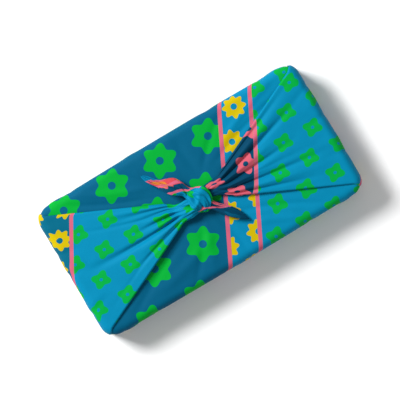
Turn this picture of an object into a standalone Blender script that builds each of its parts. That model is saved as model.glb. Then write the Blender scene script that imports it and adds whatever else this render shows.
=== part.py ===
"""A furoshiki wrap: one square printed cloth wrapped round something flat and long and tied on top.

One node, furoshiki_cloth, in metres with +Z up. The origin is under the middle of the bundle, +X runs along
it and the cloth stands on z = 0. The solid is the outside of the wrapped cloth: the far flap laid over the
top, the two end flaps drawn up over it to the middle, their square knot, and the two free tail ends.
"""

import math

import bmesh
import bpy
from mathutils import Vector

for old in list(bpy.data.objects):
    bpy.data.objects.remove(old)

MM = 0.001

# The wrapped bundle
LENGTH = 254 * MM
WIDTH = 126 * MM
HEIGHT = 35 * MM
PLAN_CORNER = 12 * MM
BOTTOM_ROUND = 4 * MM
TOP_ROUND = 6 * MM
CROWN = 1.5 * MM
SIDE_BULGE = 1.2 * MM

# The end flaps, folded to several layers where they lie over the far flap. They rise to the knot, a little
# more at their lower sides
FLAP_RISE = 2.2 * MM
SIDE_STEP = 0.8 * MM
FLAP_LIFT = 2.6 * MM
LIFT_SLANT = 0.35

# Gathers of the flaps: end of the bundle, place across it from -1 to 1 near the knot and at the bundle's end,
# width across, height in mm, and how far out they run from the knot, 1 being the bundle's end
GATHERS = (
    {"end": -1, "knot": 0.56, "rim": 0.34, "width": 0.09, "height": -1.2, "reach": 0.52},
    {"end": -1, "knot": 0.34, "rim": 0.22, "width": 0.12, "height": 2.0, "reach": 0.44},
    {"end": -1, "knot": 0.12, "rim": 0.12, "width": 0.09, "height": -2.0, "reach": 0.56},
    {"end": -1, "knot": -0.10, "rim": 0.02, "width": 0.11, "height": 2.0, "reach": 0.42},
    {"end": -1, "knot": -0.34, "rim": -0.04, "width": 0.09, "height": -2.2, "reach": 1.05},
    {"end": -1, "knot": -0.56, "rim": -0.26, "width": 0.13, "height": 1.4, "reach": 0.66},
    {"end": 1, "knot": 0.62, "rim": 0.78, "width": 0.11, "height": 1.4, "reach": 1.05},
    {"end": 1, "knot": 0.43, "rim": 0.60, "width": 0.09, "height": -1.7, "reach": 1.05},
    {"end": 1, "knot": 0.20, "rim": 0.36, "width": 0.11, "height": 1.4, "reach": 0.80},
    {"end": 1, "knot": -0.03, "rim": 0.12, "width": 0.09, "height": -1.7, "reach": 0.86},
    {"end": 1, "knot": -0.24, "rim": -0.04, "width": 0.11, "height": 1.5, "reach": 0.70},
    {"end": 1, "knot": -0.47, "rim": -0.34, "width": 0.09, "height": -1.7, "reach": 1.05},
    {"end": 1, "knot": -0.68, "rim": -0.56, "width": 0.11, "height": 1.2, "reach": 1.05},
)

# The two strands of the square knot, from the flap through the knot to the tail's tip. Columns in mm: x, y,
# height over the bundle's top, half width, half thickness, and the roll of the strand in degrees. The left
# strand's bight is the broad band over the right one's two legs
LEFT_STRAND = (
    (-30, -1.1, 3.4, 12.0, 2.0, 0),
    (-24, -1.2, 4.8, 9.4, 2.6, 0),
    (-17, -1.4, 7.0, 7.8, 3.2, 0),
    (-11, -1.6, 8.0, 7.0, 3.4, 0),
    (-5, -2.8, 7.2, 5.6, 3.4, 0),
    (-0.4, -4.8, 6.8, 5.0, 3.2, 0),
    (0.6, -4.2, 9.4, 7.6, 2.9, 0),
    (0.2, -0.8, 11.4, 9.8, 2.9, -5),
    (-1.2, 3.0, 11.5, 9.9, 2.9, 5),
    (-3.2, 6.6, 9.6, 7.6, 2.9, 0),
    (-5.2, 9.6, 7.4, 5.0, 3.0, 0),
    (-7.4, 13.2, 7.2, 4.4, 2.7, -10),
    (-10.6, 17.6, 8.0, 6.4, 2.1, -20),
    (-14.6, 21.8, 8.4, 7.8, 1.8, -26),
    (-18.8, 25.6, 8.0, 6.2, 1.6, -28),
    (-22.6, 29.2, 7.2, 3.8, 1.4, -26),
    (-26.2, 33.4, 7.0, 2.9, 1.2, -20),
    (-29.6, 38.2, 7.0, 2.5, 1.0, -14),
    (-32.8, 43.2, 7.6, 1.0, 0.8, -8),
)
RIGHT_STRAND = (
    (30, 1.1, 3.0, 12.0, 2.0, 0),
    (24, 1.6, 3.4, 9.6, 2.6, 0),
    (16, 2.4, 4.0, 6.8, 3.2, 0),
    (10, 3.0, 4.2, 5.4, 3.4, 0),
    (5, 3.2, 5.2, 4.6, 3.3, 0),
    (0, 4.8, 7.0, 4.4, 3.2, 0),
    (-5.5, 4.2, 5.6, 4.4, 3.2, 0),
    (-9.6, 0, 4.8, 4.6, 3.4, 0),
    (-5.5, -4.2, 5.6, 4.4, 3.2, 0),
    (0, -5.0, 7.0, 4.4, 3.2, 0),
    (5, -7.4, 6.6, 4.2, 3.1, 0),
    (8.6, -11.6, 6.0, 3.6, 2.6, 0),
    (12.6, -16.6, 5.8, 4.2, 2.2, 10),
    (17.2, -21.8, 5.8, 4.6, 1.8, 20),
    (22, -27.6, 5.4, 3.6, 1.4, 24),
    (27.5, -35, 4.2, 1.0, 0.8, 22),
)

# The cloth squeezed inside the knot: half its length, width and height, and its middle over the top, in mm
KNOT_HEART = (15.5, 6.8, 6.0)
HEART_HEIGHT = 6.0

# How fine the mesh is
SIDE_POINTS = 22
END_POINTS = 25
CORNER_TURNS = (0, 20, 36, 45, 54, 70, 90)
TOP_RINGS = 20
STRAND_SIDES = 16
STEPS_PER_ROW = 3
HEART_RINGS = 9


def smooth_step(low, high, value):
    """0 below low, 1 above high and 3t^2 - 2t^3 between them."""
    t = min(max((value - low) / (high - low), 0), 1)
    return t * t * (3 - 2 * t)


def outline(inset):
    """The bundle seen from above, drawn in by inset: a list of rows from the middle of the right end, each
    with its place x, y, the side it belongs to (-1 or 1 an end flap, 0 a long side) and its place across."""
    half_x, half_y = LENGTH / 2 - inset, WIDTH / 2 - inset
    radius = max(PLAN_CORNER - inset, 1.5 * MM)
    flat_x, flat_y = half_x - radius, half_y - radius
    rows = []
    for turn in range(4):
        end = (1, 0, -1, 0)[turn]
        count = END_POINTS if end else SIDE_POINTS
        flat = flat_y if end else flat_x
        for i in range(1, count):
            t = 2 * i / count - 1
            along = flat * t * (1, -1, -1, 1)[turn]
            bulge = SIDE_BULGE * (1 - t * t)
            if end:
                rows.append((end * (half_x + bulge / 2), along, end))
            else:
                rows.append((along, (1, -1)[turn // 2] * (half_y - SIDE_STEP + bulge), 0))
        for degrees in CORNER_TURNS:
            angle = math.radians(90 * turn + degrees)
            x = flat_x * (1, -1, -1, 1)[turn] + radius * math.cos(angle)
            y = flat_y * (1, 1, -1, -1)[turn] + radius * math.sin(angle)
            near_end = degrees <= 45 if turn % 2 == 0 else degrees >= 45
            rows.append((x, y, (1, -1, -1, 1)[turn] if near_end else 0))
    return rows


def top_height(x, y, end, scale):
    """How high the cloth lies over HEIGHT: the crown, and on an end flap its layers, gathers and lift."""
    crown = CROWN * (1 - scale * scale)
    if not end:
        return crown
    across = y / scale / (WIDTH / 2)
    height = FLAP_RISE * smooth_step(1.02, 0.9, scale)
    for fold in GATHERS:
        if fold["end"] == end:
            middle = fold["knot"] + (fold["rim"] - fold["knot"]) * scale
            place = (across - middle) / fold["width"]
            fade = smooth_step(fold["reach"], 0.45 * fold["reach"], scale) * smooth_step(0, 0.08, scale)
            height += fold["height"] * MM * math.exp(-place * place) * fade
    lift = FLAP_LIFT * smooth_step(1.0, 0.25, scale) * (1 + end * LIFT_SLANT * across)
    return crown + height + lift


def body_rings():
    """Closed rings of points from the flat underside, up the walls and over the top to the middle."""
    rings = []
    for degrees in (0, 30, 60, 90):
        angle = math.radians(degrees)
        inset = BOTTOM_ROUND * (1 - math.sin(angle))
        z = BOTTOM_ROUND * (1 - math.cos(angle))
        rings.append([(x, y, z) for x, y, _ in outline(inset)])
    for part in (0.4, 0.75):
        z = BOTTOM_ROUND + part * (HEIGHT - BOTTOM_ROUND - TOP_ROUND)
        rings.append([(x, y, z) for x, y, _ in outline(0)])
    for degrees in (0, 25, 50, 72):
        angle = math.radians(degrees)
        inset = TOP_ROUND * (1 - math.cos(angle))
        z = HEIGHT - TOP_ROUND * (1 - math.sin(angle))
        rings.append([(x, y, z) for x, y, _ in outline(inset)])
    rim = outline(TOP_ROUND)
    for i in range(TOP_RINGS):
        scale = (1 - i / TOP_RINGS) ** 1.15
        rings.append(
            [
                (x * scale, y * scale, HEIGHT + top_height(x * scale, y * scale, end, scale))
                for x, y, end in rim
            ]
        )
    return rings


def spline(rows, steps):
    """Points on a Catmull-Rom curve through the rows, each row a tuple of numbers."""
    values = [Vector(row) for row in rows]
    values = [2 * values[0] - values[1], *values, 2 * values[-1] - values[-2]]
    points = []
    for i in range(1, len(values) - 2):
        before, start, stop, after = values[i - 1 : i + 3]
        for step in range(steps):
            t = step / steps
            points.append(
                0.5
                * (
                    2 * start
                    + (stop - before) * t
                    + (2 * before - 5 * start + 4 * stop - after) * t**2
                    + (3 * start - before - 3 * stop + after) * t**3
                )
            )
    points.append(values[-2])
    return points


def strand_rings(rows):
    """Ellipses carried along the strand, their wide axis level but for the roll."""
    stations = spline(rows, STEPS_PER_ROW)
    places = [Vector((p[0], p[1], p[2])) * MM + Vector((0, 0, HEIGHT)) for p in stations]
    rings = []
    for i, station in enumerate(stations):
        ahead = places[min(i + 1, len(places) - 1)]
        behind = places[max(i - 1, 0)]
        along = (ahead - behind).normalized()
        wide = along.cross(Vector((0, 0, 1))).normalized()
        thick = wide.cross(along)
        roll = math.radians(station[5])
        ring = []
        for k in range(STRAND_SIDES):
            angle = 2 * math.pi * k / STRAND_SIDES
            across = station[3] * MM * math.cos(angle)
            up = station[4] * MM * math.sin(angle)
            ring.append(
                places[i]
                + wide * (across * math.cos(roll) - up * math.sin(roll))
                + thick * (across * math.sin(roll) + up * math.cos(roll))
            )
        rings.append(ring)
    return rings


def solid(name, rings):
    """A closed mesh object from rings with the same number of points, capped at both ends."""
    body = bmesh.new()
    loops = [[body.verts.new(point) for point in ring] for ring in rings]
    for low, high in zip(loops, loops[1:]):
        for k, corner in enumerate(low):
            body.faces.new((low[k - 1], corner, high[k], high[k - 1]))
    for loop in (loops[0], loops[-1]):
        middle = body.verts.new(sum((v.co for v in loop), Vector()) / len(loop))
        for k, corner in enumerate(loop):
            body.faces.new((loop[k - 1], corner, middle))
    bmesh.ops.recalc_face_normals(body, faces=body.faces)
    for face in body.faces:
        face.smooth = True
    mesh = bpy.data.meshes.new(name)
    body.to_mesh(mesh)
    body.free()
    made = bpy.data.objects.new(name, mesh)
    bpy.context.scene.collection.objects.link(made)
    return made


def heart_rings():
    """Rings of an ellipsoid that fills the middle of the knot, from its left end to its right end."""
    rings = []
    for i in range(1, HEART_RINGS):
        polar = math.pi * i / HEART_RINGS
        rings.append(
            [
                (
                    -KNOT_HEART[0] * MM * math.cos(polar),
                    KNOT_HEART[1] * MM * math.sin(polar) * math.cos(2 * math.pi * k / STRAND_SIDES),
                    HEIGHT
                    + HEART_HEIGHT * MM
                    + KNOT_HEART[2] * MM * math.sin(polar) * math.sin(2 * math.pi * k / STRAND_SIDES),
                )
                for k in range(STRAND_SIDES)
            ]
        )
    return rings


def cloth_material():
    """Printed cotton: mostly light blue and teal seen as one colour, matt with a soft sheen."""
    material = bpy.data.materials.new("printed_cotton")
    material.use_nodes = True
    shader = material.node_tree.nodes["Principled BSDF"]
    shader.inputs["Base Color"].default_value = (0.0, 0.25, 0.42, 1)
    shader.inputs["Roughness"].default_value = 0.7
    shader.inputs["Metallic"].default_value = 0
    return material


def join(cloth, name, rings):
    """Joins a part of the knot to the cloth."""
    joined = solid(name, rings)
    joined.hide_render = True
    joined.display_type = "WIRE"
    union = cloth.modifiers.new(name, "BOOLEAN")
    union.operation = "UNION"
    union.object = joined
    union.use_self = True


cloth = solid("furoshiki_cloth", body_rings())
cloth.data.materials.append(cloth_material())
join(cloth, "knot_heart", heart_rings())
join(cloth, "left_strand", strand_rings(LEFT_STRAND))
join(cloth, "right_strand", strand_rings(RIGHT_STRAND))
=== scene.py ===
"""A furoshiki wrap in its finish: one square of printed cotton wrapped round a flat, long box, tied on top.

Lengths in the cloth's sections are millimetres, and the meshes are made in metres, in the CAD model's frame:
+X along the bundle, +Y across it, +Z up, with the bundle standing on z = 0.
"""

import math

import bpy
import numpy as np
from mathutils import Matrix, Vector


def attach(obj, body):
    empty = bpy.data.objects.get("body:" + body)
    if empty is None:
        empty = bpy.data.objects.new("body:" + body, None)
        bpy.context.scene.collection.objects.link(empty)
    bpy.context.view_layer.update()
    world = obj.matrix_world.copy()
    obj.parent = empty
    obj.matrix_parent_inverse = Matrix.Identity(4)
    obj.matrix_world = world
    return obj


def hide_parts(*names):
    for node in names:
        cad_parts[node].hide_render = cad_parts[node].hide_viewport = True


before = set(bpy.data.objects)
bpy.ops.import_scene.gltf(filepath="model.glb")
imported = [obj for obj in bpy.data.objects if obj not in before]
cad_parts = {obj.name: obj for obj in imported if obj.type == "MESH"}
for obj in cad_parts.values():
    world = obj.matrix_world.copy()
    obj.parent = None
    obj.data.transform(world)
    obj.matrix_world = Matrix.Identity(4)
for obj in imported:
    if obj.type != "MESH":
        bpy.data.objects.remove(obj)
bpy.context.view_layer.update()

# The wrap: the middle of the cloth, laid under the box, its near corner folded over the top and its far
# corner folded over that, down the near wall and in under the box. It is printed cotton about a quarter of
# a millimetre thick, with a narrow hem, and nothing but the folding holds it.
CLOTH_SIDE = 500.0
HALF_DIAGONAL = CLOTH_SIDE / math.sqrt(2)
LENGTH, WIDTH, HEIGHT = 254.0, 126.0, 35.0
HALF_L, HALF_W = LENGTH / 2, WIDTH / 2
PLAN_CORNER = 12.0
BOTTOM_ROUND, TOP_ROUND = 4.0, 6.0
CROWN = 1.5
SIDE_BULGE = 1.4
SIDE_STEP = 0.8
FLOOR_GAP = 0.05
QUARTER = math.pi / 2

# Layers, by their places along the cloth: the far flap comes out to the surface, the near flap goes in under
# it, and is sunk further where both lie on the top
LAYER = 0.8
FAR_FLAP_RISES = (120, 225)
NEAR_FLAP_SINKS = (-60, -112)
NEAR_FLAP_DEPTH = 1.6

# The edges that lie free: where they start along the cloth, the hem's width and its width with the step
# down, its height, and the last strip, which on the far half is turned down onto the layer below
FREE_EDGE = (HALF_DIAGONAL - 128, HALF_DIAGONAL - 112)
HEM, HEM_AND_STEP, HEM_HEIGHT = 3.0, 3.6, 0.35
TURNED_STRIP, TURNED_DEPTH = 0.5, 0.9
FAR_HALF = (0, 60)

# Angles round the corners, in radians: where the top's creases end, and from where to where the wrap is drawn
# in and down, because the end flaps cover it there
CREASES_END = 0.8
COVERED = (0.85, 1.3)
COVERED_IN, COVERED_DOWN = 1.4, 0.8

# The grid's rows, from the near corner's tip to the far one's: close together where the cloth bends round
# the box or is creased, and wider apart where it lies flat
WRAP_ROWS = (
    {"start": -346, "stop": -112, "step": 9.0},
    {"start": -110, "stop": -58, "step": 2.2},
    {"start": -57, "stop": 57, "step": 7.0},
    {"start": 58, "stop": 108, "step": 2.0},
    {"start": 108, "stop": 226, "step": 1.7},
    {"start": 226, "stop": 274, "step": 1.6},
    {"start": 275, "stop": 352, "step": 5.0},
)
WRAP_COLUMNS = 147


def smooth_step(low, high, value):
    """0 before low, 1 past high and 3t^2 - 2t^3 between them, for whole arrays. Where low is the larger of
    the two, it runs the other way."""
    t = np.clip((value - low) / (high - low), 0, 1)
    return t * t * (3 - 2 * t)


def wrapped_section(length):
    """The way round the bundle's cross-section, from the middle of its underside towards +Y. Each corner is
    an arc about its own centre, so a place is centre + (radius + height) * (cos angle, sin angle). It gives
    the centres (y, z), the radii and the angles for an array of lengths along the cloth."""
    b, h, low, top = HALF_W - SIDE_STEP, HEIGHT, BOTTOM_ROUND, TOP_ROUND
    wall = h - low - top
    # Length of each stretch, then the arc's centre, its radius and its quarter turns at the stretch's end
    stops = [
        (0.0, 0.0, low, low, -1),
        (b - low, b - low, low, low, -1),
        (low * QUARTER, b - low, low, low, 0),
        (wall, b - top, h - top, top, 0),
        (top * QUARTER, b - top, h - top, top, 1),
        (2 * (b - top), top - b, h - top, top, 1),
        (top * QUARTER, top - b, h - top, top, 2),
        (wall, low - b, low, low, 2),
        (low * QUARTER, low - b, low, low, 3),
        (b - low, 0.0, low, low, 3),
    ]
    steps, y, z, radius, turns = np.array(stops).T
    at = np.cumsum(steps)
    place = np.mod(length, at[-1])
    return (
        np.interp(place, at, y),
        np.interp(place, at, z),
        np.interp(place, at, radius),
        np.interp(place, at, turns * QUARTER),
    )


def soft_ridges(table, x, y):
    """The sum of soft ridges and troughs: each runs from (x0, y0) to (x1, y1) with a Gaussian section that
    swells to its height in the middle and fades at both ends. Negative heights are troughs."""
    total = np.zeros_like(x)
    for row in table:
        run = np.array([row["x1"] - row["x0"], row["y1"] - row["y0"]], float)
        span = np.hypot(*run)
        along = ((x - row["x0"]) * run[0] + (y - row["y0"]) * run[1]) / span**2
        aside = ((y - row["y0"]) * run[0] - (x - row["x0"]) * run[1]) / span
        bow = aside - row.get("bow", 0) * 4 * along * (1 - along)
        fade = smooth_step(-0.12, 0.25, along) * smooth_step(1.12, 0.7, along)
        total += row["height"] * fade * np.exp(-((bow / row["width"]) ** 2))
    return total


# Creases of the far flap where it shows between the end flaps, in mm on the top
TOP_CREASES = (
    {"x0": 36, "y0": 30, "x1": 112, "y1": 60, "width": 2.6, "height": 1.0, "bow": 2},
    {"x0": 28, "y0": 21, "x1": 104, "y1": 44, "width": 2.0, "height": -1.0, "bow": 2},
    {"x0": 14, "y0": 20, "x1": 62, "y1": 60, "width": 2.4, "height": -0.8, "bow": 3},
    {"x0": -104, "y0": 56, "x1": -34, "y1": 22, "width": 2.2, "height": -0.9, "bow": -2},
    {"x0": -92, "y0": 60, "x1": -26, "y1": 30, "width": 3.0, "height": 0.8, "bow": -3},
    {"x0": -58, "y0": 60, "x1": -22, "y1": 24, "width": 2.4, "height": -0.7, "bow": 2},
    {"x0": -100, "y0": -58, "x1": -30, "y1": -22, "width": 3.0, "height": -0.8, "bow": 2},
    {"x0": -70, "y0": -50, "x1": 0, "y1": -28, "width": 4.5, "height": 0.9, "bow": -3},
    {"x0": -40, "y0": -60, "x1": -8, "y1": -18, "width": 2.6, "height": -0.8, "bow": -2},
    {"x0": 20, "y0": -24, "x1": 92, "y1": -58, "width": 2.4, "height": -0.9, "bow": 3},
    {"x0": 30, "y0": -40, "x1": 70, "y1": -60, "width": 3.2, "height": 0.8, "bow": 2},
    {"x0": -30, "y0": 58, "x1": -4, "y1": 18, "width": 5.0, "height": 0.8, "bow": 3},
    {"x0": 8, "y0": 56, "x1": 12, "y1": 16, "width": 4.0, "height": -0.7, "bow": -2},
    {"x0": 4, "y0": -14, "x1": 14, "y1": -60, "width": 3.0, "height": -0.8, "bow": 2},
    {"x0": -6, "y0": -14, "x1": -22, "y1": -60, "width": 4.0, "height": 0.7, "bow": 2},
)
# Creases down the long walls: side, place along at the top and at the bottom, width and height. They fade
# where the wall has turned in by WALL_CREASES_FADE at a corner
WALL_CREASES_FADE = 1.5
WALL_CREASES = (
    {"side": 1, "top": -112, "foot": -98, "width": 3.5, "height": 0.8},
    {"side": 1, "top": -96, "foot": -84, "width": 3.0, "height": -0.7},
    {"side": 1, "top": -30, "foot": -36, "width": 7.0, "height": 0.5},
    {"side": 1, "top": 46, "foot": 40, "width": 6.0, "height": -0.6},
    {"side": 1, "top": 98, "foot": 84, "width": 3.2, "height": -0.8},
    {"side": 1, "top": 113, "foot": 101, "width": 3.5, "height": 0.8},
    {"side": -1, "top": -110, "foot": -97, "width": 3.2, "height": 0.8},
    {"side": -1, "top": -88, "foot": -66, "width": 3.6, "height": -0.7},
    {"side": -1, "top": 4, "foot": 12, "width": 7.5, "height": 0.5},
    {"side": -1, "top": 78, "foot": 62, "width": 4.0, "height": -0.7},
    {"side": -1, "top": 111, "foot": 98, "width": 3.2, "height": 0.8},
)


def wrap_patch():
    """The wrap as a grid: columns along the bundle and rows along the cloth. A row is as wide as the diamond
    of cloth there, at most the bundle and its rounded ends. A point is the section's arc centre plus (radius
    + height - draw_in) along the arc's angle, where draw_in = end_round * (1 - cos(turn)) rounds the ends."""
    rows = np.concatenate([np.arange(row["start"], row["stop"], row["step"]) for row in WRAP_ROWS])
    reach = HALF_L + PLAN_CORNER * (QUARTER - 1)
    half = np.minimum(reach, HALF_DIAGONAL - np.abs(rows))
    across = np.linspace(-1, 1, WRAP_COLUMNS)[None, :]
    x_mat = across * half[:, None]
    y_mat = np.repeat(rows[:, None], across.size, axis=1)
    y, z, radius, angle = (np.repeat(v[:, None], across.size, 1) for v in wrapped_section(rows))
    cos, sin = np.cos(angle), np.sin(angle)
    on_wall = np.abs(cos)
    end_round = PLAN_CORNER * on_wall + TOP_ROUND * (1 - on_wall)
    turn = np.clip((np.abs(x_mat) - (HALF_L - end_round)) / end_round, 0, QUARTER)
    flat = np.minimum(np.abs(x_mat), HALF_L - end_round)
    covered = smooth_step(*COVERED, turn)
    x = np.sign(x_mat) * (flat + end_round * np.sin(turn) - COVERED_IN * covered)
    draw_in = end_round * (1 - np.cos(turn))

    # The layers, the hem and the turned edge
    depth = LAYER * (1 - smooth_step(*FAR_FLAP_RISES, y_mat)) + LAYER * smooth_step(*NEAR_FLAP_SINKS, y_mat)
    free_edge = smooth_step(*FREE_EDGE, np.abs(y_mat))
    from_side = (1 - np.abs(across)) * half[:, None]
    hem = smooth_step(HEM_AND_STEP, HEM, from_side / math.sqrt(2)) * free_edge
    turned = smooth_step(TURNED_STRIP, 0.0, from_side) * free_edge * smooth_step(*FAR_HALF, y_mat)
    height = -depth + HEM_HEIGHT * hem - TURNED_DEPTH * turned - COVERED_DOWN * covered

    # Creases on the top, the crown, and the walls' bulge and creases
    top = np.clip(sin, 0, 1) ** 4 * (turn < CREASES_END)
    height += top * np.where(y_mat > 0, soft_ridges(TOP_CREASES, x, y), -NEAR_FLAP_DEPTH)
    bulge = SIDE_BULGE * (1 - (x / HALF_L) ** 2) * np.sin(np.pi * np.clip(z / HEIGHT, 0, 1))
    height += on_wall**2 * (SIDE_BULGE / 2 + bulge) * (1 - draw_in / PLAN_CORNER)
    fade = np.clip(1 - draw_in / WALL_CREASES_FADE, 0, 1)
    for crease in WALL_CREASES:
        middle = crease["foot"] + (crease["top"] - crease["foot"]) * z / HEIGHT
        bump = np.exp(-(((x - middle) / crease["width"]) ** 2)) * fade
        height += on_wall**2 * bump * crease["height"] * (np.sign(cos) == crease["side"])
    out = radius + height - draw_in
    crown = CROWN * (1 - np.clip((x / HALF_L) ** 2, 0, 1)) * (1 - np.clip((y / HALF_W) ** 2, 0, 1))
    points = np.stack([x, y + out * cos, z + out * sin + crown * np.clip(sin, 0, 1)], axis=-1)
    points[..., 2] = np.maximum(points[..., 2], FLOOR_GAP)
    return points, np.stack([x_mat, y_mat], axis=-1)


# The end flaps: the cloth's left and right corners, folded in at both sides, drawn up the end walls and over
# the top to the middle, gathered there, tied in a square knot and left as two short tails. Each flap is one
# flattened tube of cloth, two layers thick, that runs from under the box's end to its tail's tip.

# Between these two values of rho, the scale about the knot, the flap passes over into its strand. Seen from
# above, its path's rounded corners have at least the radius LEAST_CORNER
BLEND_START, BLEND_STOP = 0.25, 0.125
LEAST_CORNER = 1.5

# Heights over the box: of the upper layer on the top, on the wall and at its foot, and of the lower layer
# above the foot and at it, with the least gap between the two. Both are lifted towards the knot, over
# LIFT_RUN of rho and more at the flap's lower side. The upper one bends down to the lower one at the sides
FLAP_RISE, WALL_RISE, FOOT_RISE = 2.2, 0.9, -0.3
UNDER_RISE, UNDER_FOOT = 0.15, -0.7
LEAST_GAP = 0.35
FLAP_LIFT, LIFT_SLANT, UNDER_LIFT = 2.2, 0.35, 0.8
LIFT_RUN = (1.0, 0.25)
FLAP_BEND = 1.8

# The folded sides wander up the wall by a share of the width, as a wave over the rise. On the flat cloth
# half the flap's width is the outline's at the foot, the bundle's from the rise WIDTH_SETTLES on, and a share
# more where the flap is gathered, between two values of rho
EDGE_DRIFT, DRIFT_WAVE, DRIFT_PHASE = 0.02, 5.2, 1.4
WIDTH_SETTLES = 0.6
GATHERED_BY, GATHERED_RUN = 1.6, (0.4, 0.1)

# The rings' way over the bundle, a row for each stretch: how many rings, how far in under the box, the
# quarter turns round its edges, the rise up the wall, and the scale rho about the knot, each from and to
UNDER_REACH = 12
FLAP_WAY = (
    {"rings": 4, "inset": (UNDER_REACH, 0), "turn": (-1, -1), "rise": (0, 0), "rho": (1, 1)},
    {"rings": 6, "inset": (0, 0), "turn": (-1, 0), "rise": (0, 0), "rho": (1, 1)},
    {"rings": 14, "inset": (0, 0), "turn": (0, 0), "rise": (0, 1), "rho": (1, 1)},
    {"rings": 9, "inset": (0, 0), "turn": (0, 1), "rise": (1, 1), "rho": (1, 1)},
    {"rings": 73, "inset": (0, 0), "turn": (1, 1), "rise": (1, 1), "rho": (1, BLEND_STOP)},
)

# How fine the mesh is: points across the two layers, rings from the strand's parting to its tip, and points
# on the strand's curve, the even ones and those for each row of its table
TOP_COLUMNS, UNDER_COLUMNS = 96, 26
STRAND_RINGS = 117
STATIONS, POINTS_PER_ROW = 400, 40

# Gathers: place across the flap near the knot and at the bundle's end, from -1 to 1, width across, height in
# mm, and from where to where they run, 0 being the knot and 1 the end. They fade from FADE_SHARE of the way
# out, and come in over the top edge's arc from ARC_START
FADE_SHARE = 0.45
ARC_START = 0.2
LEFT_GATHERS = (
    {"knot": 0.56, "end": 0.34, "width": 0.08, "height": -1.7, "start": 0.05, "stop": 0.52},
    {"knot": 0.36, "end": 0.22, "width": 0.12, "height": 2.2, "start": 0.05, "stop": 0.44},
    {"knot": 0.12, "end": 0.12, "width": 0.075, "height": -2.6, "start": 0.05, "stop": 0.56},
    {"knot": -0.10, "end": 0.02, "width": 0.11, "height": 2.3, "start": 0.05, "stop": 0.42},
    {"knot": -0.34, "end": -0.04, "width": 0.065, "height": -2.9, "start": 0.05, "stop": 1.05},
    {"knot": -0.56, "end": -0.26, "width": 0.13, "height": 1.6, "start": 0.05, "stop": 0.66},
    {"knot": 0.78, "end": 0.56, "width": 0.07, "height": -1.0, "start": 0.10, "stop": 0.70},
    {"knot": 0.86, "end": 0.78, "width": 0.08, "height": 0.9, "start": 0.10, "stop": 0.85},
    {"knot": -0.76, "end": -0.58, "width": 0.06, "height": -1.2, "start": 0.12, "stop": 0.78},
    {"knot": 0.30, "end": 0.66, "width": 0.05, "height": -0.6, "start": 0.30, "stop": 1.05},
    {"knot": -0.50, "end": -0.84, "width": 0.045, "height": -0.5, "start": 0.35, "stop": 1.05},
)
RIGHT_GATHERS = (
    {"knot": -0.62, "end": -0.78, "width": 0.10, "height": 1.6, "start": 0.15, "stop": 1.05},
    {"knot": -0.43, "end": -0.60, "width": 0.055, "height": -2.3, "start": 0.10, "stop": 1.05},
    {"knot": -0.20, "end": -0.36, "width": 0.10, "height": 1.6, "start": 0.05, "stop": 0.80},
    {"knot": 0.03, "end": -0.12, "width": 0.055, "height": -2.2, "start": 0.05, "stop": 0.86},
    {"knot": 0.24, "end": 0.04, "width": 0.10, "height": 1.7, "start": 0.05, "stop": 0.70},
    {"knot": 0.47, "end": 0.34, "width": 0.055, "height": -2.2, "start": 0.08, "stop": 1.05},
    {"knot": 0.68, "end": 0.56, "width": 0.09, "height": 1.3, "start": 0.20, "stop": 1.05},
    {"knot": 0.84, "end": 0.74, "width": 0.05, "height": -1.4, "start": 0.20, "stop": 0.90},
    {"knot": -0.84, "end": -0.90, "width": 0.05, "height": -1.0, "start": 0.30, "stop": 1.05},
    {"knot": 0.12, "end": 0.20, "width": 0.045, "height": -0.6, "start": 0.35, "stop": 1.05},
)

# Creases drawn down the end walls: place across at the foot and at the top edge, width across and height.
# They come in round the foot, over FOOT_RUN of rise + angle, and go out on the top, over OUT_RUN of rho
FOOT_RUN, OUT_RUN = (-0.2, 0.3), (0.86, 1)
LEFT_END_CREASES = (
    {"foot": -0.80, "top": -0.60, "width": 0.05, "height": -0.45},
    {"foot": -0.46, "top": -0.50, "width": 0.11, "height": 0.45},
    {"foot": -0.12, "top": 0.02, "width": 0.05, "height": -0.55},
    {"foot": 0.22, "top": 0.14, "width": 0.09, "height": 0.35},
    {"foot": 0.56, "top": 0.36, "width": 0.05, "height": -0.50},
    {"foot": 0.84, "top": 0.78, "width": 0.07, "height": 0.35},
)
RIGHT_END_CREASES = (
    {"foot": -0.74, "top": -0.62, "width": 0.05, "height": -0.45},
    {"foot": -0.30, "top": -0.40, "width": 0.10, "height": 0.40},
    {"foot": 0.04, "top": -0.14, "width": 0.05, "height": -0.55},
    {"foot": 0.34, "top": 0.24, "width": 0.09, "height": 0.40},
    {"foot": 0.70, "top": 0.46, "width": 0.05, "height": -0.50},
)

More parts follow.
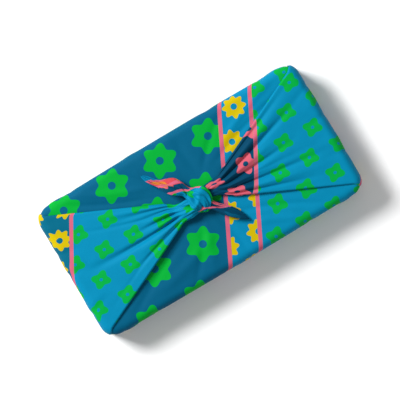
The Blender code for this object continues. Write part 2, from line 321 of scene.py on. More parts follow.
# The strands in the knot: x, y, height over HEIGHT, half width, half thickness and roll in degrees, each
# from its flap to its tail's tip. Both are written as the left one's; the right one is turned half round.
# The left strand's bight is the broad band over the right one's two legs; the right one's lies under.
LEFT_STRAND = (
    (-32, -1.0, 3.2, 14.0, 1.8, 0),
    (-24, -1.2, 4.8, 9.4, 2.6, 0),
    (-17, -1.4, 7.2, 7.8, 3.2, 0),
    (-11, -1.6, 8.2, 7.4, 3.4, 0),
    (-5, -2.8, 7.2, 6.0, 3.4, 0),
    (-0.4, -4.8, 6.8, 5.4, 3.2, 0),
    (0.6, -4.2, 9.4, 8.0, 2.9, 0),
    (0.2, -0.8, 11.3, 9.8, 2.7, 5),
    (-1.2, 3.0, 11.4, 9.9, 2.7, -5),
    (-3.2, 6.6, 9.6, 7.6, 2.9, 0),
    (-5.2, 9.6, 7.2, 5.0, 3.0, 0),
    (-7.4, 13.2, 7.0, 4.4, 2.6, 10),
    (-10.6, 17.6, 8.2, 6.4, 1.8, 20),
    (-14.6, 21.8, 8.8, 7.8, 1.4, 26),
    (-18.8, 25.6, 8.2, 6.2, 1.2, 28),
    (-22.6, 29.2, 7.0, 3.6, 1.0, 26),
    (-26.2, 33.4, 6.8, 2.7, 0.9, 20),
    (-29.6, 38.2, 7.0, 2.5, 0.8, 14),
    (-32.8, 43.2, 7.6, 0.9, 0.5, 8),
)
RIGHT_STRAND = (
    (-32, -1.0, 2.8, 14.0, 1.8, 0),
    (-24, -1.6, 3.4, 9.6, 2.6, 0),
    (-16, -2.4, 4.0, 6.8, 3.2, 0),
    (-10, -3.0, 4.2, 5.4, 3.4, 0),
    (-5, -3.2, 5.2, 4.6, 3.3, 0),
    (0, -4.8, 7.0, 4.4, 3.2, 0),
    (5.5, -4.2, 5.6, 4.4, 3.2, 0),
    (9.6, 0, 4.8, 4.8, 3.4, 0),
    (5.5, 4.2, 5.6, 4.4, 3.2, 0),
    (0, 5.0, 7.0, 4.4, 3.2, 0),
    (-5, 7.4, 6.6, 4.2, 3.1, 0),
    (-8.6, 11.6, 6.0, 3.6, 2.6, 0),
    (-12.6, 16.6, 6.0, 4.2, 2.0, -10),
    (-17.2, 21.8, 6.2, 4.6, 1.5, -20),
    (-22.0, 27.6, 5.6, 3.6, 1.2, -24),
    (-27.5, 35.0, 4.2, 0.8, 0.5, -22),
)

# Pleats along the strands, as shares of their thickness: lobes round the strand, place of the first, how far
# they wind from end to end, and depth. PLEATS_ACROSS and PLEATS_UP say how much of it goes each way, and
# PLEATS_EASE how much less the tail has.
PLEATS = (
    {"count": 9, "phase": 0.5, "twist": 2.4, "depth": 0.14},
    {"count": 5, "phase": 1.9, "twist": -2.0, "depth": 0.17},
    {"count": 14, "phase": 0.2, "twist": 3.1, "depth": 0.04},
)
PLEATS_ACROSS, PLEATS_UP, PLEATS_EASE = 0.5, 1.6, 0.6

# Creases in mm, placed by the way along the strand and round it, ROUND for each radian
ROUND = 6
LEFT_KNOT_CREASES = (
    {"x0": 14, "y0": 5.0, "x1": 38, "y1": 11.5, "width": 1.0, "height": -1.5, "bow": 1},
    {"x0": 16, "y0": 12.0, "x1": 34, "y1": 7.5, "width": 0.9, "height": -1.1},
    {"x0": 33, "y0": 6.0, "x1": 50, "y1": 10.0, "width": 1.1, "height": -1.4, "bow": -1},
    {"x0": 36, "y0": 14.0, "x1": 47, "y1": 9.0, "width": 0.9, "height": -1.2},
    {"x0": 38, "y0": 3.5, "x1": 45, "y1": 13.0, "width": 1.2, "height": 0.8},
    {"x0": 46, "y0": 15.0, "x1": 58, "y1": 6.0, "width": 1.0, "height": -1.3},
    {"x0": 50, "y0": 4.0, "x1": 62, "y1": 11.5, "width": 1.0, "height": -1.1, "bow": 1},
)
RIGHT_KNOT_CREASES = (
    {"x0": 10, "y0": 6.0, "x1": 34, "y1": 10.5, "width": 1.0, "height": -1.2, "bow": 1},
    {"x0": 14, "y0": 13.0, "x1": 30, "y1": 8.0, "width": 0.9, "height": -1.0},
    {"x0": 58, "y0": 13.0, "x1": 76, "y1": 7.0, "width": 1.0, "height": -1.0},
)

# Where pleats and creases come in, about the ring where the strand parts from its flap, and how far from the
# tip they go out. The tip is rounded off over the length TIP, down to the share TIP_SHARE
PLEATS_FROM = (-8, 6)
PLEATS_STOP = 12
TIP, TIP_SHARE = 2, 0.02

# The tails: from where to where along the strand they open out, how much they curl up at their sides about
# the middle CURL_LEVEL, and on the upper side the folded-over layer's hemmed edge, and creases, by their
# places across at root and tip. The widths are shares of the half width, the steep faces' among them. The
# under side has UNDER_SHARE of each
TAIL_OPENS = (0.58, 0.70)
TAIL_CURL, CURL_LEVEL = 0.20, 0.4
TAIL_HEM, TAIL_HEM_FACE = 0.30, 0.06
FOLD_FACE, EDGE_FACE = 0.07, 0.04
CREASE_WIDTH = 0.16
UNDER_SHARE = 0.15
LEFT_TAIL_FOLDS = (
    {"kind": "edge", "root": -1.1, "tip": 0.75, "height": 0.9},
    {"kind": "crease", "root": 1.3, "tip": -0.6, "height": -0.9},
    {"kind": "crease", "root": -0.2, "tip": 0.5, "height": 0.6},
)
RIGHT_TAIL_FOLDS = (
    {"kind": "edge", "root": 1.2, "tip": -0.6, "height": 0.9},
    {"kind": "crease", "root": -1.4, "tip": 0.5, "height": -0.8},
)


def end_outline(place, inset):
    """The bundle's left end seen from above, drawn in by inset: x and y for places from -1 to 1 across it,
    straight in the middle and an arc at both sides up to the middle of each rounded corner, and the way
    along it from place 0 to place 1."""
    radius = np.maximum(PLAN_CORNER - inset, LEAST_CORNER)
    flat = HALF_W - inset - radius
    reach = flat + radius * math.pi / 4
    length = np.abs(place) * reach
    angle = np.maximum(length - flat, 0) / radius
    y = np.sign(place) * (np.minimum(length, flat) + radius * np.sin(angle))
    bulge = SIDE_BULGE / 2 * (1 - place**2)
    return -(HALF_L + bulge - inset - radius + radius * np.cos(angle)), y, reach


def through(rows, count):
    """Points on a Catmull-Rom curve through the rows, spaced evenly by its length in x, y and z, and the way
    along it to each."""
    values = np.array(rows, float)
    values = np.vstack([2 * values[0] - values[1], values, 2 * values[-1] - values[-2]])
    t = np.linspace(0, len(rows) - 1 - 1e-9, POINTS_PER_ROW * len(rows))
    i = t.astype(int) + 1
    t = (t - i + 1)[:, None]
    before, start, stop, after = values[i - 1], values[i], values[i + 1], values[i + 2]
    curve = 0.5 * (
        2 * start
        + (stop - before) * t
        + (2 * before - 5 * start + 4 * stop - after) * t**2
        + (3 * start - before - 3 * stop + after) * t**3
    )
    gone = np.concatenate([[0], np.cumsum(np.linalg.norm(np.diff(curve[:, :3], axis=0), axis=1))])
    even = np.linspace(0, gone[-1], count)
    return np.stack([np.interp(even, gone, column) for column in curve.T], axis=-1), even


def flap_loop():
    """The angles round a flap's flattened tube, as one row: over the upper layer from pi to 0, and back under
    the lower one to -pi. The place across the flap is cos(phi)."""
    over = np.linspace(math.pi, 0, TOP_COLUMNS)
    under = np.linspace(0, -math.pi, UNDER_COLUMNS + 2)[1:-1]
    return np.concatenate([over, under])[None, :]


def flap_way():
    """FLAP_WAY as four columns of numbers, a row for each ring: inset, angle, rise and rho."""
    columns = []
    for name in ("inset", "turn", "rise", "rho"):
        stretches = [np.linspace(*row[name], row["rings"] + 1)[:-1] for row in FLAP_WAY]
        columns.append(np.concatenate([*stretches, [FLAP_WAY[-1][name][1]]])[:, None])
    inset, turn, rise, rho = columns
    return inset, turn * QUARTER, rise, rho


def flap_relief(place, way, on_top, gathers, end_creases):
    """The gathers on the top and the creases on the end wall, in mm. Each is a Gaussian across the flap,
    about a middle that moves evenly along it."""
    angle, rise, rho = way[1:]
    relief = np.zeros_like(place * rho)
    for fold in gathers:
        middle = fold["knot"] + (fold["end"] - fold["knot"]) * rho
        bump = np.exp(-(((place - middle) / fold["width"]) ** 2))
        run = smooth_step(fold["stop"], FADE_SHARE * fold["stop"], rho) * smooth_step(0, fold["start"], rho)
        relief += fold["height"] * bump * run * on_top
    for crease in end_creases:
        middle = crease["foot"] + (crease["top"] - crease["foot"]) * rise
        bump = np.exp(-(((place - middle) / crease["width"]) ** 2))
        run = smooth_step(*FOOT_RUN, rise + angle) * smooth_step(*OUT_RUN, rho)
        relief += crease["height"] * bump * run
    return relief


def flap_on_bundle(phi, way, gathers, end_creases):
    """The rings on the bundle in mm, and half the width that each has on the flat cloth. With out = the box's
    edge radius + height, a point is the edge's centre + out * (cos angle, sin angle), and x and y are then
    scaled by rho. Between the layers height = low + (top_side - low) * sqrt(1 - edge^2) at a folded side."""
    inset, angle, rise, rho = way
    place = np.cos(phi)
    on_top = smooth_step(ARC_START, 1, angle / QUARTER)
    half_width = rho * HALF_W
    edge = np.clip((np.abs(place) * half_width - (half_width - FLAP_BEND)) / FLAP_BEND, 0, 1)
    layer = np.where(phi >= 0, np.sqrt(np.clip(1 - edge**2, 0, 1)), 0)
    foot = FOOT_RISE + (WALL_RISE - FOOT_RISE) * (1 + angle / QUARTER)
    proud = np.where(angle < 0, foot, WALL_RISE + (FLAP_RISE - WALL_RISE) * on_top)
    lift = FLAP_LIFT * smooth_step(*LIFT_RUN, rho) * on_top * (1 - LIFT_SLANT * place)
    top_side = proud + lift + flap_relief(place, way, on_top, gathers, end_creases) * (1 - edge)
    low = np.where(angle < 0, UNDER_FOOT, UNDER_RISE) + UNDER_LIFT * lift
    low = np.minimum(low, top_side - LEAST_GAP)
    radius = BOTTOM_ROUND + (TOP_ROUND - BOTTOM_ROUND) * rise
    out = radius + low + (top_side - low) * layer
    drift = np.sin(math.pi * rise) * np.sin(DRIFT_WAVE * rise + DRIFT_PHASE * np.sign(place))
    x, y, reach = end_outline(place * (1 + EDGE_DRIFT * drift), radius + inset - out * np.cos(angle))
    centre_z = BOTTOM_ROUND + (HEIGHT - BOTTOM_ROUND - TOP_ROUND) * rise
    z = centre_z + out * np.sin(angle) + CROWN * (1 - rho**2)
    near_foot = reach + (HALF_W - reach) * smooth_step(0, WIDTH_SETTLES, rise)
    flat_width = np.where(rise < WIDTH_SETTLES, near_foot, half_width)
    return np.stack([x * rho, y * rho, z], axis=-1), flat_width[:, TOP_COLUMNS // 2]


def strand_rings(phi, rho, strand, knot_creases, tail_folds):
    """The strand and its tail as rings in mm, about a curve through the strand's rows. A ring is an ellipse,
    (wide * cos(phi), thick * sin(phi)), with pleats, creases and the tail's folds over it, rolled about the
    curve. The first rings go with those on the bundle, by their places along X, the others on to the tip."""
    stations, gone = through(strand, STATIONS)
    parting = np.argmax(stations[:, 0] > -HALF_L * BLEND_STOP)
    start, end = gone[parting], gone[-1]
    beside = np.maximum(-HALF_L * rho[:, 0], strand[0][0])
    along = np.interp(beside, stations[: parting + 1, 0], gone[: parting + 1])
    where = np.concatenate([along, np.linspace(start, end, STRAND_RINGS + 1)[1:]])
    x, y, z, wide, thick, roll = (np.interp(where, gone, column)[:, None] for column in stations.T)
    centre = np.stack([x, y, z + HEIGHT], axis=-1)
    rounding = 1 - (np.maximum(where - end + TIP, 0) / TIP) ** 2
    closing = np.sqrt(np.clip(rounding, TIP_SHARE**2, 1))[:, None]
    wide, thick = wide * closing, thick * closing

    # The directions along the strand, across it and up from it
    step = 0.6
    ahead = np.stack([np.interp(where + step, gone, c) for c in stations.T[:3]], axis=-1)
    behind = np.stack([np.interp(where - step, gone, c) for c in stations.T[:3]], axis=-1)
    forward = ahead - behind
    forward /= np.linalg.norm(forward, axis=-1, keepdims=True)
    aside = np.cross([0.0, 0.0, 1.0], forward)
    aside /= np.linalg.norm(aside, axis=-1, keepdims=True)
    upward = np.cross(forward, aside)

    # Pleats, the knot's creases, then the tail's folds, creases and curl
    share = where[:, None] / end
    swell = smooth_step(start + PLEATS_FROM[0], start + PLEATS_FROM[1], where)
    swell = (swell * smooth_step(end, end - PLEATS_STOP, where))[:, None]
    ripple = np.zeros_like(phi * share)
    for pleat in PLEATS:
        wind = pleat["phase"] + pleat["twist"] * share
        ripple += pleat["depth"] * (2 * np.abs(np.cos(pleat["count"] * phi / 2 + wind)) - 1)
    on_tail = smooth_step(*TAIL_OPENS, share)
    ripple *= swell * (1 - PLEATS_EASE * on_tail)
    across = wide * np.cos(phi) * (1 + PLEATS_ACROSS * ripple)
    lift = thick * np.sin(phi) * (1 + PLEATS_UP * ripple)
    lift += soft_ridges(knot_creases, where[:, None] + 0 * phi, ROUND * phi + 0 * share) * swell
    for fold in tail_folds:
        off = np.cos(phi) - fold["root"] - (fold["tip"] - fold["root"]) * share
        if fold["kind"] == "edge":
            hem = smooth_step(-TAIL_HEM, TAIL_HEM_FACE - TAIL_HEM, off) * smooth_step(EDGE_FACE, 0, off)
            bump = smooth_step(FOLD_FACE, 0, off) * fold["height"] + HEM_HEIGHT * hem
        else:
            bump = np.exp(-((off / CREASE_WIDTH) ** 2)) * fold["height"]
        lift += bump * on_tail * (UNDER_SHARE + np.clip(np.sin(phi), 0, 1))
    lift += TAIL_CURL * on_tail * wide * (np.cos(phi) ** 2 - CURL_LEVEL)
    roll = np.radians(roll)
    return (
        centre
        + aside[:, None, :] * (across * np.cos(roll) - lift * np.sin(roll))[..., None]
        + upward[:, None, :] * (across * np.sin(roll) + lift * np.cos(roll))[..., None]
    )


def flap_on_cloth(phi, rho, middle, flat_width):
    """Where the flap's points lie on the flat cloth, in mm. x is the way along the flap's middle line, out to
    the cloth's corner. y is place * width on the upper layer, and (2 - |place|) * width, counted on round the
    folded sides, on the lower one. The width is gathered towards the knot and ends in the cloth's corner."""
    run = np.linalg.norm(np.diff(middle, axis=0), axis=1)
    x = -(HALF_L - UNDER_REACH + np.concatenate([[0], np.cumsum(run)]))
    left = np.linspace(0, 1, STRAND_RINGS + 1)[1:]
    x = np.concatenate([x, x[-1] + (1 - HALF_DIAGONAL - x[-1]) * left])
    on_bundle = flat_width * (1 + GATHERED_BY * smooth_step(*GATHERED_RUN, rho[:, 0]))
    on_strand = np.minimum(on_bundle[-1], HALF_DIAGONAL + x[len(rho) :])
    width = np.concatenate([on_bundle, on_strand])[:, None]
    place = np.cos(phi)
    y = np.where(phi >= 0, place, np.sign(place) * (2 - np.abs(place))) * width
    return np.stack([np.repeat(x[:, None], phi.size, 1), y], axis=-1)


def flap_patch(gathers, end_creases, strand, knot_creases, tail_folds):
    """One end flap, its strand and its tail as a closed tube of rings, and their places on the flat cloth.
    From rho BLEND_START to BLEND_STOP the rings on the bundle pass over into the strand's."""
    phi, way = flap_loop(), flap_way()
    rho = way[-1]
    on_bundle, flat_width = flap_on_bundle(phi, way, gathers, end_creases)
    rings = strand_rings(phi, rho, strand, knot_creases, tail_folds)
    mix = smooth_step(BLEND_START, BLEND_STOP, rho)[..., None]
    count = len(rho)
    points = np.concatenate([on_bundle * (1 - mix) + rings[:count] * mix, rings[count:]])
    return points, flap_on_cloth(phi, rho, on_bundle[:, TOP_COLUMNS // 2], flat_width)


wrap_points, wrap_flat = wrap_patch()
left_points, left_flat = flap_patch(
    LEFT_GATHERS, LEFT_END_CREASES, LEFT_STRAND, LEFT_KNOT_CREASES, LEFT_TAIL_FOLDS
)
right_points, right_flat = flap_patch(
    RIGHT_GATHERS, RIGHT_END_CREASES, RIGHT_STRAND, RIGHT_KNOT_CREASES, RIGHT_TAIL_FOLDS
)
# The right flap, worked out as a left one, is turned half round
half_turn = np.array([-1.0, -1.0, 1.0])


def cloth_mesh(name, patches):
    """One mesh from grids of points in mm, each with its places on the flat cloth, which go into the UV map
    in metres. A closed patch joins its last column to its first, and strips across its last ring close its
    tip."""
    corners, faces, flat = [], [], []
    first = 0
    for points, cloth, closed in patches:
        rows, columns = points.shape[:2]
        index = first + np.arange(rows * columns).reshape(rows, columns)
        if closed:
            index = np.concatenate([index, index[:, :1]], axis=1)
        quads = np.stack([index[:-1, :-1], index[:-1, 1:], index[1:, 1:], index[1:, :-1]], axis=-1)
        corners.append(points.reshape(-1, 3))
        flat.append(cloth.reshape(-1, 2))
        faces.append(quads.reshape(-1, 4))
        if closed:
            ring = index[-1, :-1]
            strips = np.stack([ring, ring + 1, ring[::-1] - 1, ring[::-1]], axis=-1)
            faces.append(strips[: columns // 2 - 1])
        first += rows * columns
    corners, faces, flat = np.concatenate(corners), np.concatenate(faces), np.concatenate(flat)
    mesh = bpy.data.meshes.new(name)
    mesh.from_pydata(corners / 1000, [], faces)
    mesh.polygons.foreach_set("use_smooth", np.ones(len(faces), bool))
    layer = mesh.uv_layers.new(name="flat_cloth")
    layer.data.foreach_set("uv", (flat[faces.reshape(-1)] / 1000).reshape(-1))
    mesh.update()
    made = bpy.data.objects.new(name, mesh)
    bpy.context.scene.collection.objects.link(made)
    return made


cloth = cloth_mesh(
    "furoshiki",
    [
        (wrap_points, wrap_flat, False),
        (left_points[:, ::-1], left_flat[:, ::-1], True),
        (right_points[:, ::-1] * half_turn, -right_flat[:, ::-1], True),
    ],
)

# The printed cotton: screen-printed bands in saturated colours, drawn by coordinates on the flat cloth, on a
# fine plain weave, with a hem sewn in dark blue thread. Bands run by x + BAND_SLOPE * y, and each starts at
# its "from" in mm, with its ground's and its motif's colour and the motif that it is set with.
BAND_SLOPE = 0.5
BAND_REACH = 360
BANDS = (
    {"from": -360, "ground": (0, 120, 160), "motif": (190, 84, 100), "set": "blossom"},
    {"from": -342, "ground": (188, 62, 72), "motif": (198, 120, 48), "set": "blossom"},
    {"from": -329, "ground": (0, 60, 88), "motif": (190, 84, 100), "set": "blossom"},
    {"from": -316, "ground": (0, 122, 160), "motif": (0, 152, 58), "set": "spark"},
    {"from": -165, "ground": (0, 92, 118), "motif": (186, 164, 2), "set": "daisy"},
    {"from": -80, "ground": (0, 84, 116), "motif": (0, 152, 48), "set": "clover"},
    {"from": 102, "ground": (0, 120, 160), "motif": (186, 164, 2), "set": "daisy"},
    {"from": 132, "ground": (0, 122, 160), "motif": (0, 152, 58), "set": "spark"},
    {"from": 237, "ground": (0, 60, 88), "motif": (190, 84, 100), "set": "blossom"},
    {"from": 326, "ground": (0, 60, 88), "motif": (0, 76, 106), "set": "blossom"},
)

# Motifs: spacing, size, petals, how deep the notches between them are cut, turn and the eye's size
MOTIFS = {
    "clover": {"pitch": 46, "radius": 15.5, "petals": 6, "cut": 0.28, "turn": 0.2, "eye": 3.4},
    "spark": {"pitch": 28, "radius": 9.0, "petals": 4, "cut": 0.34, "turn": 1.6, "eye": 1.5},
    "daisy": {"pitch": 30, "radius": 10.5, "petals": 8, "cut": 0.26, "turn": 0.0, "eye": 2.8},
    "blossom": {"pitch": 33, "radius": 10.5, "petals": 5, "cut": 0.34, "turn": 0.4, "eye": 2.4},
}

# The spacing of their rows against that in a row, half the width of their soft edge, and the line's colour
# and half width
ROW_SPACING = 0.866
PRINT_EDGE = 0.2
LINE_COLOUR = (190, 88, 112)
LINE_HALF = 1.7

# The stitches: how far in from the edge their row is, half their width, their length, the share of it that
# shows, and their height against the threads' of the weave
THREAD_COLOUR = (0, 70, 98)
STITCH_PLACE, STITCH_HALF = 2.7, 0.2
STITCH_LENGTH, STITCH_SHARE, STITCH_HEIGHT = 2.6, 0.76, 3.0

# The weave, in metres: its pitch, the noise scales of slubs and slack, their heights against the threads',
# how much lighter and darker they make the print, and the relief's strength and depth
WEAVE_PITCH = 0.00045
SLUB_SCALE, SLACK_SCALE = 900, 60
SLUB_HEIGHT, SLACK_HEIGHT = 0.5, 9.0
TONE_DEPTH = 0.24
RELIEF_STRENGTH, RELIEF_DEPTH = 0.5, 0.00006


def linear(colour):
    """An sRGB colour in steps of 255 as linear light, with alpha 1."""
    return [c / 255 / 12.92 if c < 10.3 else ((c / 255 + 0.055) / 1.055) ** 2.4 for c in colour] + [1.0]


def new_group(name, inputs, outputs):
    """An empty node group: its tree, its input node and its output node."""
    tree = bpy.data.node_groups.new(name, "ShaderNodeTree")
    for label, kind in inputs:
        tree.interface.new_socket(label, in_out="INPUT", socket_type=f"NodeSocket{kind}")
    for label, kind in outputs:
        tree.interface.new_socket(label, in_out="OUTPUT", socket_type=f"NodeSocket{kind}")
    return tree, tree.nodes.new("NodeGroupInput"), tree.nodes.new("NodeGroupOutput")


def feed(tree, value, socket):
    """Puts a number, a vector or another node's output into a socket."""
    if isinstance(value, bpy.types.NodeSocket):
        tree.links.new(value, socket)
    else:
        socket.default_value = value


def calc(tree, operation, *values):
    """A Math node: its output."""
    node = tree.nodes.new("ShaderNodeMath")
    node.operation = operation
    for value, socket in zip(values, node.inputs):
        feed(tree, value, socket)
    return node.outputs[0]


def motif_group():
    """A staggered lattice of petalled motifs, its rows along the bands. In each cell r is the distance from
    its middle and a the angle about it, and a motif is where r < radius * (1 - cut * (0.5 - 0.5 cos(petals *
    a + turn))) and r > eye."""
    tree, given, result = new_group(
        "petal lattice",
        [("Vector", "Vector")] + [(n, "Float") for n in ("Pitch", "Radius", "Petals", "Cut", "Turn", "Eye")],
        [("Mask", "Float")],
    )
    put = given.outputs
    turned = tree.nodes.new("ShaderNodeVectorRotate")
    turned.rotation_type = "Z_AXIS"
    turned.inputs["Angle"].default_value = -math.atan(1 / BAND_SLOPE)
    tree.links.new(put["Vector"], turned.inputs["Vector"])
    split = tree.nodes.new("ShaderNodeSeparateXYZ")
    tree.links.new(turned.outputs[0], split.inputs[0])
    v = calc(tree, "DIVIDE", split.outputs[1], calc(tree, "MULTIPLY", put["Pitch"], ROW_SPACING))
    row = calc(tree, "FLOOR", v)
    shift = calc(tree, "MULTIPLY", calc(tree, "MODULO", calc(tree, "ABSOLUTE", row), 2.0), 0.5)
    u = calc(tree, "ADD", calc(tree, "DIVIDE", split.outputs[0], put["Pitch"]), shift)
    cell_u = calc(tree, "MULTIPLY", calc(tree, "SUBTRACT", calc(tree, "FRACT", u), 0.5), put["Pitch"])
    cell_v = calc(tree, "MULTIPLY", calc(tree, "SUBTRACT", calc(tree, "SUBTRACT", v, row), 0.5), put["Pitch"])
    cell_v = calc(tree, "MULTIPLY", cell_v, ROW_SPACING)
    squares = calc(tree, "ADD", calc(tree, "POWER", cell_u, 2.0), calc(tree, "POWER", cell_v, 2.0))
    r = calc(tree, "SQRT", squares)
    a = calc(tree, "ARCTAN2", cell_v, cell_u)
    wave = calc(tree, "COSINE", calc(tree, "MULTIPLY_ADD", a, put["Petals"], put["Turn"]))
    notch = calc(tree, "MULTIPLY", calc(tree, "MULTIPLY_ADD", wave, -0.5, 0.5), put["Cut"])
    limit = calc(tree, "MULTIPLY", put["Radius"], calc(tree, "SUBTRACT", 1.0, notch))
    inside = tree.nodes.new("ShaderNodeMapRange")
    inside.interpolation_type = "SMOOTHSTEP"
    tree.links.new(calc(tree, "SUBTRACT", limit, r), inside.inputs["Value"])
    inside.inputs["From Min"].default_value = -PRINT_EDGE
    inside.inputs["From Max"].default_value = PRINT_EDGE
    past_eye = calc(tree, "GREATER_THAN", r, put["Eye"])
    tree.links.new(calc(tree, "MULTIPLY", inside.outputs[0], past_eye), result.inputs["Mask"])
    return tree


def band_ramp(tree, place, colours):
    """A stepped ColorRamp over place, with one colour for each band. Place is 0 at -BAND_REACH and 1 at
    BAND_REACH."""
    ramp = tree.nodes.new("ShaderNodeValToRGB")
    ramp.color_ramp.interpolation = "CONSTANT"
    stops = ramp.color_ramp.elements
    while len(stops) < len(colours):
        stops.new(0.5)
    for stop, (start, colour) in zip(stops, colours):
        stop.position = min(max((start + BAND_REACH) / (2 * BAND_REACH), 0), 1)
        stop.color = colour
    tree.links.new(place, ramp.inputs["Fac"])
    return ramp.outputs["Color"]


def print_group():
    """The print: stepped grounds along the band coordinate x + slope * y, a motif lattice in each band, and a
    thin line where two bands meet."""
    tree, given, result = new_group("furoshiki print", [("Flat cloth", "Vector")], [("Color", "Color")])
    to_mm = tree.nodes.new("ShaderNodeVectorMath")
    to_mm.operation = "SCALE"
    to_mm.inputs["Scale"].default_value = 1000
    tree.links.new(given.outputs[0], to_mm.inputs[0])
    split = tree.nodes.new("ShaderNodeSeparateXYZ")
    tree.links.new(to_mm.outputs[0], split.inputs[0])
    band = calc(tree, "MULTIPLY_ADD", split.outputs[1], BAND_SLOPE, split.outputs[0])
    place = calc(tree, "MULTIPLY_ADD", band, 1 / (2 * BAND_REACH), 0.5)
    ground = band_ramp(tree, place, [(b["from"], linear(b["ground"])) for b in BANDS])
    ink = band_ramp(tree, place, [(b["from"], linear(b["motif"])) for b in BANDS])
    lattice = motif_group()
    shown = 0.0
    for name, sizes in MOTIFS.items():
        here = [(b["from"], [float(b["set"] == name)] * 3 + [1.0]) for b in BANDS]
        node = tree.nodes.new("ShaderNodeGroup")
        node.node_tree = lattice
        tree.links.new(to_mm.outputs[0], node.inputs["Vector"])
        for socket, key in zip(("Pitch", "Radius", "Petals", "Cut", "Turn", "Eye"), sizes):
            node.inputs[socket].default_value = sizes[key]
        shown = calc(tree, "MULTIPLY_ADD", node.outputs[0], band_ramp(tree, place, here), shown)
    with_motifs = tree.nodes.new("ShaderNodeMix")
    with_motifs.data_type = "RGBA"
    tree.links.new(shown, with_motifs.inputs["Factor"])
    tree.links.new(ground, with_motifs.inputs["A"])
    tree.links.new(ink, with_motifs.inputs["B"])
    half = LINE_HALF * math.hypot(1, BAND_SLOPE)
    line = 0.0
    for b in BANDS[1:]:
        away = calc(tree, "ABSOLUTE", calc(tree, "SUBTRACT", band, float(b["from"])))
        line = calc(tree, "MAXIMUM", line, calc(tree, "LESS_THAN", away, half))
    lined = tree.nodes.new("ShaderNodeMix")
    lined.data_type = "RGBA"
    tree.links.new(line, lined.inputs["Factor"])
    tree.links.new(with_motifs.outputs["Result"], lined.inputs["A"])
    lined.inputs["B"].default_value = linear(LINE_COLOUR)
    tree.links.new(lined.outputs["Result"], result.inputs[0])
    return tree


def hem_group():
    """The hem's row of stitches: 1 where the way in from the cloth's edge, (half diagonal - |x| - |y|) over
    the root of 2, is STITCH_PLACE, and the way along it, (|x| - |y|) over that root, is in a stitch."""
    tree, given, result = new_group("hem stitches", [("Flat cloth", "Vector")], [("Thread", "Float")])
    split = tree.nodes.new("ShaderNodeSeparateXYZ")
    tree.links.new(given.outputs[0], split.inputs[0])
    x, y = (calc(tree, "MULTIPLY", calc(tree, "ABSOLUTE", split.outputs[i]), 1000.0) for i in (0, 1))
    inward = calc(tree, "SUBTRACT", HALF_DIAGONAL, calc(tree, "ADD", x, y))
    off_row = calc(tree, "SUBTRACT", calc(tree, "DIVIDE", inward, math.sqrt(2)), STITCH_PLACE)
    on_row = calc(tree, "LESS_THAN", calc(tree, "ABSOLUTE", off_row), STITCH_HALF)
    stitches = calc(tree, "DIVIDE", calc(tree, "SUBTRACT", x, y), math.sqrt(2) * STITCH_LENGTH)
    in_stitch = calc(tree, "LESS_THAN", calc(tree, "FRACT", stitches), STITCH_SHARE)
    tree.links.new(calc(tree, "MULTIPLY", on_row, in_stitch), result.inputs[0])
    return tree


def weave_group():
    """A plain weave: sin(pi u / pitch) * sin(pi v / pitch) along the cloth's sides u and v, which lie at 45
    degrees to its diagonals, with slubs as fine noise and slack as noise of about 15 mm. It gives the height
    and a tone of about 0.5."""
    tree, given, result = new_group(
        "cotton weave",
        [("Flat cloth", "Vector"), ("Pitch", "Float")],
        [("Height", "Float"), ("Tone", "Float")],
    )
    turned = tree.nodes.new("ShaderNodeVectorRotate")
    turned.rotation_type = "Z_AXIS"
    turned.inputs["Angle"].default_value = math.pi / 4
    tree.links.new(given.outputs["Flat cloth"], turned.inputs["Vector"])
    split = tree.nodes.new("ShaderNodeSeparateXYZ")
    tree.links.new(turned.outputs[0], split.inputs[0])
    threads = []
    for axis in (0, 1):
        turns = calc(tree, "DIVIDE", split.outputs[axis], given.outputs["Pitch"])
        threads.append(calc(tree, "SINE", calc(tree, "MULTIPLY", turns, math.pi)))
    height = calc(tree, "MULTIPLY_ADD", calc(tree, "MULTIPLY", *threads), 0.5, 0.5)
    slubs = tree.nodes.new("ShaderNodeTexNoise")
    slubs.inputs["Scale"].default_value = SLUB_SCALE
    slubs.inputs["Detail"].default_value = 3
    tree.links.new(turned.outputs[0], slubs.inputs["Vector"])
    slack = tree.nodes.new("ShaderNodeTexNoise")
    slack.inputs["Scale"].default_value = SLACK_SCALE
    slack.inputs["Detail"].default_value = 2
    tree.links.new(turned.outputs[0], slack.inputs["Vector"])
    uneven = calc(tree, "MULTIPLY_ADD", slubs.outputs["Fac"], SLUB_HEIGHT, height)
    uneven = calc(tree, "MULTIPLY_ADD", slack.outputs["Fac"], SLACK_HEIGHT, uneven)
    tree.links.new(uneven, result.inputs["Height"])
    both = calc(tree, "ADD", slack.outputs["Fac"], slubs.outputs["Fac"])
    tree.links.new(calc(tree, "MULTIPLY", both, 0.5), result.inputs["Tone"])
    return tree


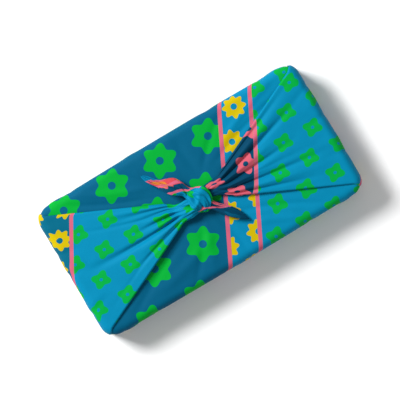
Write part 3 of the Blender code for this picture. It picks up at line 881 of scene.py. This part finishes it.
def printed_cotton():
    """Fine printed cotton: the print, a little darker and lighter with the slubs and the slack, the hem's
    thread over it, the weave and the stitches in the relief, and a soft sheen."""
    material = bpy.data.materials.new("printed_cotton")
    material.use_nodes = True
    tree = material.node_tree
    shader = tree.nodes["Principled BSDF"]
    place = tree.nodes.new("ShaderNodeUVMap")
    place.uv_map = "flat_cloth"
    printed = tree.nodes.new("ShaderNodeGroup")
    printed.node_tree = print_group()
    woven = tree.nodes.new("ShaderNodeGroup")
    woven.node_tree = weave_group()
    woven.inputs["Pitch"].default_value = WEAVE_PITCH
    sewn = tree.nodes.new("ShaderNodeGroup")
    sewn.node_tree = hem_group()
    for node in (printed, woven, sewn):
        tree.links.new(place.outputs[0], node.inputs["Flat cloth"])
    toned = tree.nodes.new("ShaderNodeHueSaturation")
    tree.links.new(printed.outputs[0], toned.inputs["Color"])
    tone = calc(tree, "MULTIPLY_ADD", woven.outputs["Tone"], TONE_DEPTH, 1 - TONE_DEPTH / 2)
    tree.links.new(tone, toned.inputs["Value"])
    stitched = tree.nodes.new("ShaderNodeMix")
    stitched.data_type = "RGBA"
    tree.links.new(sewn.outputs[0], stitched.inputs["Factor"])
    tree.links.new(toned.outputs[0], stitched.inputs["A"])
    stitched.inputs["B"].default_value = linear(THREAD_COLOUR)
    tree.links.new(stitched.outputs["Result"], shader.inputs["Base Color"])
    bump = tree.nodes.new("ShaderNodeBump")
    bump.inputs["Strength"].default_value = RELIEF_STRENGTH
    bump.inputs["Distance"].default_value = RELIEF_DEPTH
    relief = calc(tree, "MULTIPLY_ADD", sewn.outputs[0], STITCH_HEIGHT, woven.outputs["Height"])
    tree.links.new(relief, bump.inputs["Height"])
    tree.links.new(bump.outputs[0], shader.inputs["Normal"])
    shader.inputs["Roughness"].default_value = 0.62
    shader.inputs["Specular IOR Level"].default_value = 0.05
    shader.inputs["Sheen Weight"].default_value = 0.01
    shader.inputs["Sheen Roughness"].default_value = 0.4
    return material


cloth.data.materials.append(printed_cotton())
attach(cloth, "root")
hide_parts("furoshiki_cloth")

# The stage: a pale floor under soft light from the left, with the camera straight above. The bundle's long
# axis rises to the right in the picture by TURN.
TURN = math.radians(30.8)
VIEW_HEIGHT = 2.4
VIEW_WIDTH = 0.345
SENSOR_WIDTH = 36
FLOOR_HALF = 6
FLOOR_COLOUR = (0.93, 0.93, 0.93, 1)
SKY_STRENGTH = 0.36

floor_mesh = bpy.data.meshes.new("floor")
floor_corners = [(FLOOR_HALF * x, FLOOR_HALF * y, 0) for x, y in ((-1, -1), (1, -1), (1, 1), (-1, 1))]
floor_mesh.from_pydata(floor_corners, [], [(0, 1, 2, 3)])
floor = bpy.data.objects.new("floor", floor_mesh)
bpy.context.scene.collection.objects.link(floor)
pale = bpy.data.materials.new("pale_floor")
pale.use_nodes = True
pale.node_tree.nodes["Principled BSDF"].inputs["Base Color"].default_value = FLOOR_COLOUR
pale.node_tree.nodes["Principled BSDF"].inputs["Roughness"].default_value = 0.9
floor_mesh.materials.append(pale)

camera_data = bpy.data.cameras.new("camera")
camera_data.sensor_width = SENSOR_WIDTH
camera_data.lens = SENSOR_WIDTH * VIEW_HEIGHT / VIEW_WIDTH
camera = bpy.data.objects.new("camera", camera_data)
camera.matrix_world = Matrix.Translation((0, 0, VIEW_HEIGHT)) @ Matrix.Rotation(-TURN, 4, "Z")
bpy.context.scene.collection.objects.link(camera)
bpy.context.scene.camera = camera


def soft_light(name, picture_x, picture_y, height, size, power):
    """A square area light placed by the picture's right and up directions, and aimed at the bundle."""
    data = bpy.data.lights.new(name, "AREA")
    data.size = size
    data.energy = power
    light = bpy.data.objects.new(name, data)
    place = Matrix.Rotation(-TURN, 3, "Z") @ Vector((picture_x, picture_y, height))
    light.matrix_world = Matrix.Translation(place) @ place.to_track_quat("Z", "Y").to_matrix().to_4x4()
    bpy.context.scene.collection.objects.link(light)


soft_light("window", picture_x=-1.4, picture_y=0.70, height=1.45, size=0.7, power=66)
soft_light("fill", picture_x=0.9, picture_y=-0.8, height=2.2, size=2.0, power=6)
world = bpy.data.worlds.new("studio")
world.use_nodes = True
world.node_tree.nodes["Background"].inputs["Color"].default_value = (1, 1, 1, 1)
world.node_tree.nodes["Background"].inputs["Strength"].default_value = SKY_STRENGTH
bpy.context.scene.world = world
bpy.context.scene.view_settings.view_transform = "Standard"
